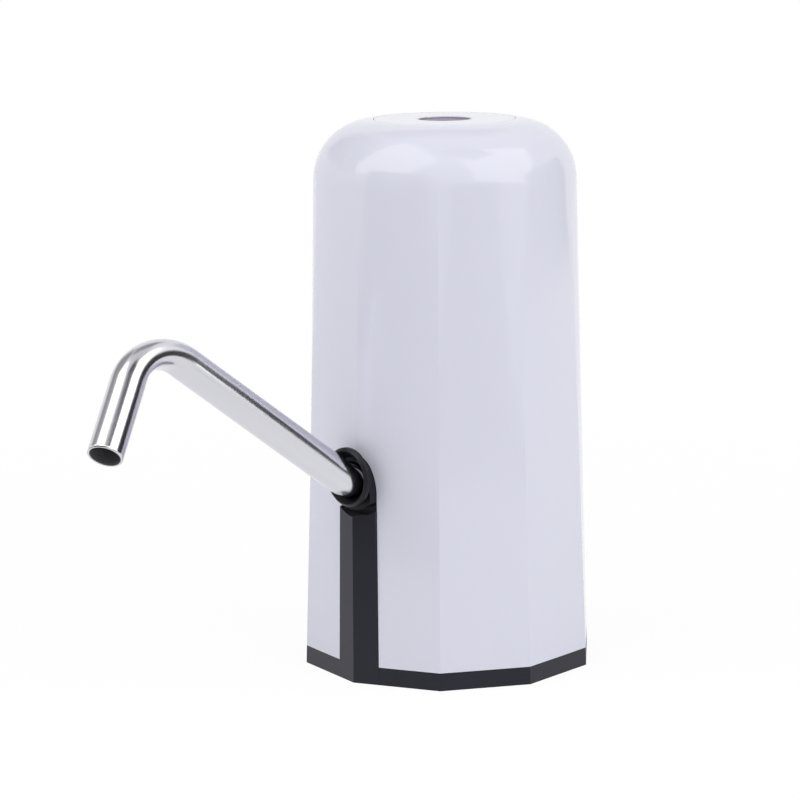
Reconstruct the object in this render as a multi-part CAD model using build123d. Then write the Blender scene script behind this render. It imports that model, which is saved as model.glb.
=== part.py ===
from build123d import *
import math
import os

# Bottled water pump: a battery pump that sits on the neck of a water bottle.
# Millimetres, +Z up. The origin is the centre of the neck socket on the base plane,
# and the spout points towards -Y.

# Overall form
overall_height = 138.0
side_count = 10
base_corner_radius = 37.55
crown_radius = 33.15
dome_radius = 15.0
wall = 2.0
overrun = 1.0
face_gap = 0.3
fit_gap = 0.15
snug_gap = 0.05
run_gap = 0.06

# Base housing
band_height = 4.5
lip_height = 3.6
socket_wall = 2.0
deck_thickness = 2.5
spine_flare = 0.85
spine_lean = 0.45
latch_width = 7.0
latch_height = 2.8
latch_level = 11.2
latch_angles = (18.0, 162.0, 234.0, 306.0)

# Neck seal
neck_radius = 27.5
seal_wall = 2.0
seal_headroom = 8.0
seal_land_share = 0.63
seal_relief = 0.8
seal_stop_height = 3.5
seal_stop_width = 4.5
seal_rib_width = 1.2
seal_rib_depth = 0.5

# Spout port and its collar
port_rise = 11.3
port_seat = 33.4
port_boss_wall = 2.0
port_boss_front = 30.4
port_boss_length = 5.4
port_boss_step = 0.8
collar_reach = 39.7
collar_front_radius = 7.4
collar_under_radius = 8.5
collar_rise = 0.8
collar_waist_radius = 5.0
collar_front_length = 1.5
collar_flank_length = 1.6
collar_body_reach = 37.0
collar_edge_radius = 0.6
collar_mouth_radius = 6.6
collar_mouth_length = 2.9
collar_lean = 6.0
collar_side_wall = 1.05
collar_crown_wall = 1.25
arch_drop = 4.3
arch_gap = 0.1
spine_arc_gap = 1.8

# Spout tube
tube_radius = 4.25
tube_wall = 0.6
tube_clearance = 0.3
tube_kink_reach = 39.5
tube_kink_radius = 7.0
tube_long_leg = 69.6
tube_short_leg = 34.8
tube_bend_radius = 14.3
tube_rise = 40.4
tube_drop = 49.3
tube_swivel = 20.8

# Spout connector
connector_radius = 6.6
connector_flange_radius = 8.2
connector_flange = 1.5
elbow_radius = 5.0
elbow_length = 9.5
barb_radius = 2.9
barb_ridge = 0.25
barb_length = 6.5
barb_ridges = 2
water_bore = 1.9
ring_section = 0.6
ring_pitch = 2.4

# Hoses inside
hose_radius = 4.3
hose_bore = 3.2
outlet_bend_radius = 5.5

# Inlet nipple
nipple_radius = 4.0
nipple_length = 16.0
nipple_chamfer = 0.6
nipple_flange_radius = 7.5
nipple_flange = 2.0
nipple_spigot = 4.2
nipple_bore = 2.4

# Inner frame
frame_plate = 2.0
frame_inset = 8.05
frame_cup_wall = 1.4
frame_cup_drop = 12.8
pump_rest = 7.5
rest_radius = 2.2
rest_angles = (60.0, 150.0, 250.0)
boss_radius = 3.2
boss_height = 8.0
screw_circle_radius = 26.5
screw_angles = (-40.0, 46.0, 138.0, 212.0)
board_post_width = 4.0
board_post_depth = 3.6

# Diaphragm pump
pump_x = -8.0
pump_y = 3.0
pump_radius = 13.5
pump_cover_height = 9.0
pump_cover_floor = 1.6
pump_cover_wall = 1.6
pump_nipple_length = 3.8
pump_port_side = -8.0
pump_port_length = 5.0
valve_plate_height = 3.0
valve_hole_radius = 0.8
flap_thickness = 0.5
flap_radius = 2.6
diaphragm_sheet = 1.2
chamber_count = 3
chamber_circle_radius = 6.4
chamber_radius = 3.9
chamber_rise = 3.8
chamber_wall = 0.8
pump_body_wall = 1.6
pump_body_height = 18.8
pump_body_cap = 2.0
wobble_tilt = 7.0
wobble_radius = 10.2
wobble_thickness = 1.8
wobble_lift = 1.8
wobble_hub_radius = 2.6
wobble_hub = 2.6
crank_radius = 4.6
crank_height = 4.6
crank_clearance = 0.5
pin_radius = 1.0
pin_grip = 2.2
pump_screw_circle_radius = 12.0
pump_screw_angles = (20.0, 110.0, 200.0, 290.0)

# Motor
motor_radius = 12.2
motor_length = 30.8
motor_wall = 1.0
motor_boss_radius = 3.1
motor_boss = 1.7
shaft_radius = 1.0
magnet_thickness = 1.9
magnet_length = 23.0
magnet_span = 140.0
magnet_lift = 4.0
rotor_radius = 8.6
rotor_length = 17.0
rotor_lift = 5.5
rotor_slots = 3
rotor_slot_width = 2.4
rotor_core_radius = 3.4
winding_length = 20.0
commutator_radius = 2.2
commutator_length = 3.0
bush_radius = 2.4
bush_length = 2.2
end_cap_height = 3.2
end_cap_wall = 1.4
brush_width = 2.0
terminal_width = 2.4
terminal_thickness = 0.5
terminal_height = 3.5
terminal_spacing = 7.0
terminal_back = 5.5
sleeve_length = 14.0

# Battery
cell_x = 16.8
cell_y = 3.0
cell_radius = 9.1
cell_length = 65.0
cell_button_radius = 2.8
cell_button = 0.6
cradle_wall = 1.4
cradle_floor = 1.7
cradle_opening = 11.0
tab_thickness = 0.3
tab_width = 4.0

# Control board and charging socket
board_width = 27.0
board_height = 46.0
board_thickness = 1.6
board_back = 24.0
board_foot = 14.0
header_width = 6.0
header_depth = 5.4
header_height = 5.8
header_middle = -1.0
header_pitch = 7.0
usb_width = 7.6
usb_height = 2.9
usb_depth = 6.6
usb_rise = 11.5
usb_skin = 0.3
usb_tongue_share = 0.62
usb_window_width = 12.0
usb_window_height = 7.6
usb_window_radius = 2.4
charge_rise = 22.5
charge_radius = 1.4
chip_height = 1.2
inductor_radius = 3.2
inductor_height = 3.0
chip_side_share = 0.33
chip_shares = (0.8, 0.6)
inductor_share = 1.5
led_height = 1.0

# Top cap and power button
cap_radius = 17.74
cap_thickness = 1.6
cap_ledge = 2.0
cap_leg_length = 3.4
cap_leg_width = 5.0
cap_leg_wall = 1.4
cap_leg_count = 3
cap_hook = 0.9
button_radius = 6.5
button_gap = 0.2
button_edge_radius = 0.45
button_drop = 0.55
button_dish = 0.9
button_travel = 0.5
button_flange = 0.8
button_flange_reach = 1.3
button_stem_radius = 1.7
button_guide_wall = 1.5
button_guide_length = 4.8
button_board_radius = 13.5
button_board_drop = 14.4
button_post_radius = 2.4
button_post_circle_radius = 11.0
button_post_angles = (0.0, 180.0)
switch_width = 6.0
switch_height = 3.5
plunger_radius = 1.75

# Screws and wires
screw_radius = 1.3
screw_head_radius = 2.6
screw_head = 1.6
screw_length = 8.5
small_screw_radius = 0.9
small_head_radius = 1.7
small_head = 1.1
small_screw_length = 5.0
wire_radius = 0.6
wire_pitch = 2.5
wire_bend = 2.4
wire_loop_share = 1.4
lead_room = 4.5

# Heights worked out from the top down: the cap carries the button's board, and the motor's
# leads, the motor and the pump follow below it, down to the deck over the bottle's neck
crown_height = overall_height - dome_radius
cap_under = overall_height - cap_thickness
button_board_top = overall_height - button_board_drop
button_board_under = button_board_top - board_thickness
tag_top = button_board_under - lead_room
motor_top = tag_top - terminal_height - end_cap_height
motor_bottom = motor_top - motor_length
diaphragm_top = motor_bottom - pump_body_height
chamber_top = diaphragm_top + chamber_rise
valve_top = diaphragm_top - diaphragm_sheet
cover_top = valve_top - valve_plate_height
pump_bottom = cover_top - pump_cover_height
deck_top = pump_bottom - pump_rest
socket_depth = deck_top - deck_thickness
seal_length = socket_depth - seal_headroom
seal_land = seal_length * seal_land_share
port_height = deck_top + port_rise
frame_floor = deck_top + frame_plate
frame_cup_top = motor_top - frame_cup_drop
cell_bottom = frame_floor + cradle_floor + tab_thickness
cell_top = cell_bottom + cell_length
board_bottom = deck_top + board_foot
board_top = board_bottom + board_height
usb_level = board_bottom + usb_rise
charge_level = board_bottom + charge_rise

# Places worked out from the sizes above
board_outside = board_back + board_thickness
socket_bore = neck_radius + seal_wall
skirt_radius = socket_bore + socket_wall
seat_y = -port_seat
boss_start = -port_boss_front
boss_end = boss_start + port_boss_length
step_end = boss_start + port_boss_step
flange_end = boss_end + connector_flange
elbow_end = flange_end + elbow_length
elbow_y = flange_end + elbow_radius
collar_y = -collar_reach
collar_body_y = -collar_body_reach
collar_height = port_height + collar_rise
collar_bore = tube_radius + tube_clearance
collar_half = collar_bore + collar_side_wall
arch_spring = port_height - arch_drop
arch_rise = arch_drop + collar_bore + collar_crown_wall
frame_radius = base_corner_radius - frame_inset
inlet_x = -pump_x
inlet_y = -pump_y


def cylinder(radius, low, high, x=0, y=0):
    """An upright round bar from one height to another."""
    return Pos(x, y, low) * extrude(Circle(radius), high - low)


def ring(outer, inner, low, high, x=0, y=0):
    """An upright round sleeve."""
    bore = cylinder(inner, low - overrun, high + overrun, x, y)
    return cylinder(outer, low, high, x, y) - bore


def bar_y(radius, near, far, x, z):
    """A round bar along Y."""
    plane = Plane(origin=(x, near, z), x_dir=(1, 0, 0), z_dir=(0, 1, 0))
    return extrude(plane * Circle(radius), far - near)


def bar_x(radius, left, right, y, z):
    """A round bar along X."""
    plane = Plane(origin=(left, y, z), x_dir=(0, 1, 0), z_dir=(1, 0, 0))
    return extrude(plane * Circle(radius), right - left)


def block(left, right, near, far, low, high):
    """A rectangular block between two corners."""
    size = (right - left, far - near, high - low)
    middle = Pos((left + right) / 2, (near + far) / 2, (low + high) / 2)
    return middle * Box(*size)


def around(piece, angle):
    """The piece turned about the vertical axis."""
    return Rotation(0, 0, angle) * piece


def polar(radius, angle, x=0, y=0):
    """A place at a radius and angle from a centre."""
    turn = math.radians(angle)
    return x + radius * math.cos(turn), y + radius * math.sin(turn)


def solid_of(piece):
    """The one solid that a result holds."""
    return piece.solids().sort_by(SortBy.VOLUME)[-1]


def corner_points(radius):
    """The corners of the ten-sided outline, with one corner towards -Y."""
    step = 360 / side_count
    return [polar(radius, step * count - 90) for count in range(side_count)]


def sided_face(radius, height):
    """A flat ten-sided face with straight edges."""
    points = [(x, y, height) for x, y in corner_points(radius)]
    return make_face(Polyline(*points, close=True))


def round_face(radius, height):
    """A round face whose edge is split at the same corners as the ten-sided one."""
    half = 180 / side_count
    arcs = []
    for count in range(side_count):
        angle = count * 2 * half - 90
        ends = [polar(radius, angle + turn) for turn in (0, half, 2 * half)]
        arcs.append(ThreePointArc(*[(x, y, height) for x, y in ends]))
    return make_face(arcs)


def tapered_column(inset, bottom, top):
    """The faceted column that fades from ten flat sides to a round crown."""
    across = math.cos(math.pi / side_count)
    foot = sided_face(base_corner_radius - inset / across, 0)
    head = round_face(crown_radius - inset, crown_height)
    column = loft([foot, head], ruled=True)
    keep = cylinder(2 * base_corner_radius, bottom, top)
    return column & keep


def dome(inset):
    """The rounded crown on top of the column."""
    edge = crown_radius - inset
    radius = dome_radius - inset
    centre = crown_radius - dome_radius
    diagonal = radius * math.sqrt(0.5)
    top = crown_height + radius
    arc_middle = (centre + diagonal, 0, crown_height + diagonal)
    outline = [
        Line((0, 0, crown_height), (edge, 0, crown_height)),
        ThreePointArc((edge, 0, crown_height), arc_middle, (centre, 0, top)),
        Line((centre, 0, top), (0, 0, top)),
        Line((0, 0, top), (0, 0, crown_height)),
    ]
    return revolve(make_face(outline), Axis.Z)


def arch(half, rise, near, far):
    """A bar along Y with the outline of the tall arch about the port."""
    plane = Plane(origin=(0, near, arch_spring), x_dir=(1, 0, 0), z_dir=(0, 1, 0))
    return extrude(plane * Ellipse(half, rise), far - near)


def arched_slab(grow, near, far):
    """An upright slab that narrows from the foot of the spine to the arch about the port."""
    head = collar_half + grow
    foot = head + spine_flare
    corners = [(-foot, near, 0), (foot, near, 0), (head, near, arch_spring), (-head, near, arch_spring)]
    slab = extrude(make_face(Polyline(*corners, close=True)), far - near, dir=(0, 1, 0))
    return slab + arch(head, arch_rise + grow, near, far)


def spine_corner():
    """The corner of the ten-sided prism that stands in front of the port."""
    foot = sided_face(base_corner_radius, 0)
    head = sided_face(base_corner_radius - spine_lean, port_height)
    return loft([foot, head], ruled=True)


def barb(start, length):
    """A hose barb along +Z with small saw-tooth ridges."""
    pitch = length / barb_ridges
    points = [(0, 0, start)]
    for count in range(barb_ridges):
        low = start + count * pitch
        points.append((barb_radius + barb_ridge, 0, low))
        points.append((barb_radius, 0, low + pitch))
    points.append((0, 0, start + length))
    return revolve(make_face(Polyline(*points, close=True)), Axis.Z)


def hose(points, radii, outer, inner):
    """A hose or tube with straight runs joined by tangent arcs."""
    path = FilletPolyline(*points, radius=radii)
    start = Plane(origin=path @ 0, z_dir=path % 0)
    skin = sweep(start * Circle(outer), path=path)
    bore = sweep(start * Circle(inner), path=path)
    return skin - bore


def wire(points, radii):
    """An insulated wire with straight runs joined by tangent arcs."""
    path = FilletPolyline(*points, radius=radii)
    start = Plane(origin=path @ 0, z_dir=path % 0)
    return sweep(start * Circle(wire_radius), path=path)


def screw(radius, length, head_radius, head):
    """A pan-head screw pointing up, with its head below z = 0."""
    body = cylinder(radius, 0, length) + cylinder(head_radius, -head, 0)
    slot = block(-head_radius, head_radius, -head / 4, head / 4, -head, -head / 2)
    return body - slot


def at_pump(piece):
    """A piece made about its own axis, moved to the pump's place."""
    return Pos(pump_x, pump_y, 0) * piece


def outer_shell():
    """The white cover: faceted outside, hollow, with an arched slot for spine and port."""
    skin = tapered_column(0, band_height, crown_height) + dome(0)
    hollow = tapered_column(wall, 0, crown_height) + dome(wall)
    shell = skin - hollow
    ledge_low = cap_under - cap_ledge
    ledge = ring(cap_radius + wall, cap_radius - cap_ledge, ledge_low, cap_under)
    shell = shell + ledge
    shell = shell - cylinder(cap_radius + fit_gap, cap_under, overall_height + overrun)
    shell = shell - cylinder(cap_radius - cap_ledge, ledge_low - overrun, overall_height)
    front = -2 * base_corner_radius
    shell = shell - arched_slab(arch_gap, front, -socket_bore)
    window = usb_window()
    shell = shell - window
    shell = shell - bar_y(charge_radius + fit_gap, 0, base_corner_radius, 0, charge_level)
    return solid_of(shell + keepers(shell))


def keepers(shell):
    """Small inside ribs that hook under the latches of the base."""
    ribs = None
    low = latch_level - latch_height
    for angle in latch_angles:
        rib = block(
            skirt_radius + face_gap,
            base_corner_radius,
            -latch_width / 2,
            latch_width / 2,
            low,
            latch_level - fit_gap,
        )
        rib = around(rib, angle) & tapered_column(wall / 2, 0, crown_height)
        ribs = rib if ribs is None else ribs + rib
    return ribs


def usb_window():
    """The rounded window in the back of the cover for the charging plug."""
    plane = Plane(origin=(0, usb_skin, usb_level), x_dir=(1, 0, 0), z_dir=(0, 1, 0))
    outline = RectangleRounded(usb_window_width, usb_window_height, usb_window_radius)
    start = board_outside + usb_depth / 2
    return Pos(0, start, 0) * extrude(plane * outline, base_corner_radius)


def base_housing():
    """The dark base: band, neck socket, deck, spine and the boss that carries the port."""
    band = extrude(sided_face(base_corner_radius, 0), band_height)
    column = tapered_column(0, 0, band_height)
    band = band & column
    lip_top = band_height + lip_height
    lip = tapered_column(wall + fit_gap, band_height, lip_top)
    skirt = cylinder(skirt_radius, 0, deck_top)
    body = band + lip + skirt
    front = -2 * base_corner_radius
    spine = arched_slab(0, front, -socket_bore)
    rim = bar_y(collar_under_radius + spine_arc_gap, front, seat_y, 0, collar_height)
    spine = (spine - rim) & spine_corner()
    plate = arched_slab(0, seat_y, boss_start)
    boss = bar_y(connector_radius + port_boss_wall, boss_start, boss_end, 0, port_height)
    web = block(-collar_half, collar_half, -socket_bore, boss_end, socket_depth, port_height)
    body = body + spine + plate + boss + web
    body = body - cylinder(socket_bore, -overrun, socket_depth)
    bore = connector_radius + snug_gap
    body = body - bar_y(bore, step_end, boss_end + overrun, 0, port_height)
    body = body - bar_y(collar_bore, seat_y - overrun, boss_end, 0, port_height)
    low = socket_depth - overrun
    high = deck_top + overrun
    body = body - cylinder(nipple_spigot + face_gap / 2, low, high)
    for angle in screw_angles:
        x, y = polar(screw_circle_radius, angle)
        body = body - cylinder(screw_radius + fit_gap, low, high, x, y)
    for angle in latch_angles:
        body = body + latch(angle)
    return solid_of(body)


def latch(angle):
    """One hook on the outside of the skirt, with a sloped top edge."""
    reach = skirt_radius + wall / 2
    hook = block(
        skirt_radius - socket_wall / 2,
        reach,
        -latch_width / 2,
        latch_width / 2,
        latch_level,
        latch_level + latch_height,
    )
    top_edge = hook.edges().group_by(Axis.Z)[-1].sort_by(Axis.X)[-1]
    hook = chamfer(top_edge, wall / 4)
    return around(hook, angle)


def neck_seal():
    """The soft sleeve that grips the bottle's neck, with a stop for its rim."""
    outer = socket_bore - snug_gap
    sleeve = ring(outer, neck_radius, 0, seal_land)
    sleeve = sleeve + ring(outer, neck_radius + seal_relief, seal_land, seal_length)
    stop_top = seal_length + seal_stop_height
    stop = ring(outer, neck_radius - seal_stop_width, seal_length, stop_top)
    sleeve = sleeve + stop
    rib_low = stop_top
    rib_radius = neck_radius - seal_stop_width + seal_rib_width
    rib = ring(rib_radius, neck_radius - seal_stop_width, rib_low, rib_low + seal_rib_depth)
    return solid_of(sleeve + rib)


def inlet_nipple():
    """The hose spigot in the middle of the socket that draws from the bottle."""
    flange_low = socket_depth - nipple_flange
    tip = flange_low - nipple_length
    spigot = cylinder(nipple_radius, tip, flange_low)
    tip_edge = spigot.edges().group_by(Axis.Z)[0]
    spigot = chamfer(tip_edge, nipple_chamfer)
    flange = cylinder(nipple_flange_radius, flange_low, socket_depth)
    stem = cylinder(nipple_spigot, socket_depth, deck_top)
    upper = Pos(0, 0, deck_top) * barb(0, pump_rest - pump_nipple_length - face_gap)
    body = spigot + flange + stem + upper
    return solid_of(body - cylinder(nipple_bore, tip - overrun, pump_bottom))


def inlet_hose():
    """The short sleeve of hose that joins the nipple to the pump's inlet."""
    return ring(hose_radius, hose_bore, deck_top + snug_gap, pump_bottom - snug_gap)


def collar_outline():
    """Half the section of the collar's front ring, as radius and distance behind its face."""
    flank_start = collar_front_length
    flank_end = flank_start + collar_flank_length
    edge = collar_edge_radius
    return [
        (collar_mouth_radius, 0),
        (collar_front_radius - edge, 0),
        (collar_front_radius, edge),
        (collar_front_radius, flank_start),
        (collar_waist_radius, flank_end),
        (collar_bore, flank_end),
        (collar_bore, collar_mouth_length),
    ]


def spout_collar():
    """The collar about the spout's root: a leaning ring on a body with the arch's outline."""
    points = [(radius, collar_y + depth, 0) for radius, depth in collar_outline()]
    front = revolve(make_face(Polyline(*points, close=True)), Axis.Y)
    pivot = Pos(0, collar_y, 0)
    front = pivot * Rotation(0, 0, -collar_lean) * pivot.inverse() * front
    front = Pos(0, 0, collar_height) * front
    body = arch(collar_half, arch_rise, collar_body_y, seat_y)
    side = collar_under_radius
    body = body & block(-side, side, collar_body_y, seat_y, arch_spring, overall_height)
    under = bar_y(side, collar_body_y, seat_y, 0, collar_height)
    keep = block(-collar_half, collar_half, collar_body_y, seat_y, 0, arch_spring)
    body = body + (under & keep)
    bore = bar_y(collar_bore, collar_body_y - overrun, seat_y + overrun, 0, port_height)
    return solid_of(front + body - bore)


def spout_points():
    """Root, kink, corner and tip of the spout's centre line as the photograph has it."""
    rise = math.radians(tube_rise)
    drop = math.radians(tube_drop)
    swivel = math.radians(tube_swivel)
    side = -math.sin(swivel)
    up = math.cos(swivel)
    root = (0, ring_places()[1] + ring_section, port_height)
    kink = (0, -tube_kink_reach, port_height)
    over = tube_long_leg * math.sin(rise)
    corner = (
        over * side,
        kink[1] - tube_long_leg * math.cos(rise),
        port_height + over * up,
    )
    fall = tube_short_leg * math.sin(drop)
    tip = (
        corner[0] - fall * side,
        corner[1] - tube_short_leg * math.cos(drop),
        corner[2] - fall * up,
    )
    return [root, kink, corner, tip]


def spout_tube():
    """The bent stainless tube that pours the water."""
    radii = (tube_kink_radius, tube_bend_radius)
    return solid_of(hose(spout_points(), radii, tube_radius, tube_radius - tube_wall))


def ring_places():
    """Where the two seal rings sit along the connector."""
    middle = (step_end + boss_end) / 2
    return [middle - ring_pitch / 2, middle + ring_pitch / 2]


def spout_connector():
    """The fitting that holds the tube, seals it and turns the water to the hose."""
    near = step_end + snug_gap
    body = bar_y(connector_radius, near, boss_end, 0, port_height)
    body = body + bar_y(connector_flange_radius, boss_end, flange_end, 0, port_height)
    body = body + bar_y(elbow_radius, flange_end, elbow_end, 0, port_height)
    spigot = barb(0, barb_length)
    spigot = Pos(-elbow_radius, elbow_y, port_height) * Rotation(0, -90, 0) * spigot
    stub = bar_x(barb_radius, -elbow_radius, 0, elbow_y, port_height)
    body = body + spigot + stub
    tube_end = spout_points()[0][1]
    body = body - bar_y(tube_radius + run_gap, near - overrun, tube_end, 0, port_height)
    body = body - bar_y(water_bore, near, elbow_y, 0, port_height)
    far = -elbow_radius - barb_length - overrun
    body = body - bar_x(water_bore, far, 0, elbow_y, port_height)
    groove = tube_radius + run_gap + 2 * ring_section + snug_gap
    half = ring_section + snug_gap
    for place in ring_places():
        body = body - bar_y(groove, place - half, place + half, 0, port_height)
    return solid_of(body)


def spout_rings():
    """The two rubber rings that seal the turning tube."""
    rings = []
    for place in ring_places():
        section = Pos(tube_radius + run_gap + ring_section, place, 0) * Circle(ring_section)
        rings.append(Pos(0, 0, port_height) * revolve(section, Axis.Y))
    return Compound(children=rings)


def outlet_hose():
    """The hose from the pump's side port round to the connector's elbow."""
    start = (-elbow_radius - snug_gap, elbow_y, port_height)
    port_x = pump_x + pump_port_side
    corner = (port_x, elbow_y, port_height)
    end = (port_x, hose_end(), port_height)
    return solid_of(hose([start, corner, end], outlet_bend_radius, hose_radius, hose_bore))


def hose_end():
    """Where the outlet hose stops, clear of the round cover."""
    nearest = abs(pump_port_side) - hose_radius
    return pump_y - math.sqrt(pump_radius**2 - nearest**2) - face_gap


def pump_port_root():
    """Where the pump's side port leaves the round cover."""
    return pump_y - math.sqrt(pump_radius**2 - pump_port_side**2)


def pump_cover():
    """The pump's water end: two ports below a shallow cup."""
    cup = cylinder(pump_radius, pump_bottom, cover_top)
    inner = pump_radius - pump_cover_wall
    floor = pump_bottom + pump_cover_floor
    centre = chamber_circle_radius - chamber_radius
    cup = cup - ring(inner, centre + 2 * pump_cover_wall, floor, cover_top + overrun)
    cup = cup - cylinder(centre + pump_cover_wall, floor, cover_top + overrun)
    down = Pos(inlet_x, inlet_y, pump_bottom) * Rotation(180, 0, 0) * barb(0, pump_nipple_length)
    cup = cup + down
    low = pump_bottom - 2 * pump_nipple_length
    cup = cup - cylinder(water_bore, low, floor + overrun, inlet_x, inlet_y)
    level = port_height
    root = pump_port_root() - pump_y
    side = Pos(pump_port_side, root, level) * Rotation(90, 0, 0) * barb(0, pump_port_length)
    stub = bar_y(barb_radius, root, 0, pump_port_side, level)
    stub = stub & cylinder(pump_radius, pump_bottom, cover_top)
    cup = cup + side + stub
    cup = cup - bar_y(water_bore, root - pump_port_length - overrun, 0, pump_port_side, level)
    cup = cup - pump_screw_holes(pump_bottom, cover_top)
    return at_pump(solid_of(cup))


def pump_screw_holes(low, high):
    """The clearance holes for the pump's long screws."""
    holes = None
    for angle in pump_screw_angles:
        x, y = polar(pump_screw_circle_radius, angle)
        hole = cylinder(small_screw_radius + snug_gap, low - overrun, high + overrun, x, y)
        holes = hole if holes is None else holes + hole
    return holes


def chamber_places():
    """The centres of the pumping chambers round the pump's axis."""
    step = 360 / chamber_count
    return [polar(chamber_circle_radius, count * step + 90) for count in range(chamber_count)]


def valve_plate():
    """The plate between chambers and ports, with holes for each chamber's two valves."""
    plate = cylinder(pump_radius, cover_top, valve_top)
    low = cover_top - overrun
    high = valve_top + overrun
    for x, y in chamber_places():
        for side in (-1, 1):
            scale = 1 + side * chamber_radius / 2 / chamber_circle_radius
            plate = plate - cylinder(valve_hole_radius, low, high, x * scale, y * scale)
    plate = plate - pump_screw_holes(cover_top, valve_top)
    return at_pump(solid_of(plate))


def valve_flaps():
    """The thin rubber flap that closes the chambers' outlets, in the cover's middle."""
    return at_pump(cylinder(flap_radius, cover_top - flap_thickness, cover_top))


def diaphragm():
    """The rubber sheet with one cup for each chamber."""
    sheet = cylinder(pump_radius, valve_top, diaphragm_top)
    for x, y in chamber_places():
        sheet = sheet + cylinder(chamber_radius, valve_top, chamber_top, x, y)
    for x, y in chamber_places():
        inner = chamber_radius - chamber_wall
        sheet = sheet - cylinder(inner, valve_top - overrun, chamber_top - chamber_wall, x, y)
    sheet = sheet - pump_screw_holes(valve_top, diaphragm_top)
    return at_pump(solid_of(sheet))


def pump_body():
    """The drive end of the pump, bolted to the motor's face."""
    top = motor_bottom
    inner = pump_radius - pump_body_wall
    body = cylinder(pump_radius, diaphragm_top, top)
    body = body - cylinder(inner, diaphragm_top - overrun, top - pump_body_cap)
    for angle in pump_screw_angles:
        x, y = polar(pump_screw_circle_radius, angle)
        post = cylinder(small_head_radius, diaphragm_top, chamber_top, x, y)
        body = body + (post & cylinder(pump_radius, diaphragm_top, top))
    body = body - pump_screw_holes(diaphragm_top, chamber_top)
    body = body - cylinder(motor_boss_radius + snug_gap, top - pump_body_cap - overrun, top + overrun)
    return at_pump(solid_of(body))


def pump_screws():
    """The screws that clamp cover, valve plate and diaphragm to the pump body."""
    length = chamber_top - overrun - pump_bottom
    head = small_head
    screws = []
    for angle in pump_screw_angles:
        x, y = polar(pump_screw_circle_radius, angle)
        one = screw(small_screw_radius, length, 3 * small_screw_radius / 2, head)
        screws.append(at_pump(Pos(x, y, pump_bottom) * one))
    return Compound(children=screws)


def nutation_height():
    """The height of the point about which the wobble plate rocks."""
    dip = wobble_radius * math.sin(math.radians(wobble_tilt))
    return chamber_top + dip + face_gap - wobble_lift


def tilted(piece):
    """A piece made about the nutation point, leaned and put in place."""
    place = Pos(pump_x, pump_y, nutation_height())
    return place * Rotation(0, wobble_tilt, 0) * piece


def crank_bottom():
    """The height of the crank's lower face."""
    hub_top = wobble_lift + wobble_thickness + wobble_hub
    rise = wobble_hub_radius * math.sin(math.radians(wobble_tilt))
    return nutation_height() + hub_top + rise + crank_clearance


def wobble_plate():
    """The rocking plate that pushes the chambers in turn."""
    plate_top = wobble_lift + wobble_thickness
    hub_top = plate_top + wobble_hub
    plate = cylinder(wobble_radius, wobble_lift, plate_top)
    plate = plate + cylinder(wobble_hub_radius, plate_top, hub_top)
    plate = plate - cylinder(pin_radius + run_gap, wobble_lift - overrun, hub_top + overrun)
    return tilted(solid_of(plate))


def crank_pin_top():
    """How far up its leaning axis the pin reaches."""
    return crank_bottom() + pin_grip - nutation_height()


def crank_pin():
    """The steel pin on which the wobble plate turns."""
    return tilted(cylinder(pin_radius, wobble_lift, crank_pin_top()))


def drive_crank():
    """The crank on the motor's shaft that leans the pin."""
    low = crank_bottom()
    crank = at_pump(cylinder(crank_radius, low, low + crank_height))
    crank = crank - tilted(cylinder(pin_radius + snug_gap, 0, crank_pin_top() + snug_gap))
    bore = cylinder(shaft_radius + snug_gap, shaft_bottom() - snug_gap, low + crank_height + overrun)
    return solid_of(crank - at_pump(bore))


def shaft_bottom():
    """The lower end of the motor's shaft, just above the pin."""
    return nutation_height() + crank_pin_top() + face_gap


def motor_shaft():
    """The motor's steel shaft."""
    top = motor_top + end_cap_height - end_cap_wall
    return at_pump(cylinder(shaft_radius, shaft_bottom(), top))


def motor_can():
    """The motor's drawn steel can."""
    can = cylinder(motor_radius, motor_bottom, motor_top)
    can = can - cylinder(motor_radius - motor_wall, motor_bottom + motor_wall, motor_top + overrun)
    can = can + cylinder(motor_boss_radius, motor_bottom - motor_boss, motor_bottom)
    bush = bush_radius + snug_gap
    can = can - cylinder(bush, motor_bottom - motor_boss - overrun, motor_bottom + motor_wall + overrun)
    return at_pump(solid_of(can))


def motor_bushes():
    """The two sintered bearings of the shaft."""
    low = motor_bottom - motor_boss
    bore = shaft_radius + run_gap
    lower = ring(bush_radius, bore, low, low + bush_length)
    upper = ring(bush_radius, bore, motor_top - bush_length / 2, motor_top + bush_length / 2)
    return Compound(children=[at_pump(lower), at_pump(upper)])


def motor_magnets():
    """The two curved field magnets."""
    outer = motor_radius - motor_wall - snug_gap
    low = motor_bottom + motor_wall + magnet_lift
    sleeve = ring(outer, outer - magnet_thickness, low, low + magnet_length)
    gap = outer * math.sin(math.radians(90 - magnet_span / 2))
    gap_block = block(-2 * outer, 2 * outer, -gap, gap, low - overrun, low + magnet_length + overrun)
    sleeve = sleeve - gap_block
    return Compound(children=[at_pump(piece) for piece in sleeve.solids()])


def rotor_low():
    """The lower face of the armature's iron."""
    return motor_bottom + motor_wall + rotor_lift


def motor_armature():
    """The slotted iron of the rotor."""
    low = rotor_low()
    core = cylinder(rotor_radius, low, low + rotor_length)
    for count in range(rotor_slots):
        slot = block(
            rotor_core_radius,
            rotor_radius + overrun,
            -rotor_slot_width / 2,
            rotor_slot_width / 2,
            low - overrun,
            low + rotor_length + overrun,
        )
        core = core - around(slot, count * 360 / rotor_slots)
    core = core - cylinder(shaft_radius + snug_gap, low - overrun, low + rotor_length + overrun)
    return at_pump(solid_of(core))


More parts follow.
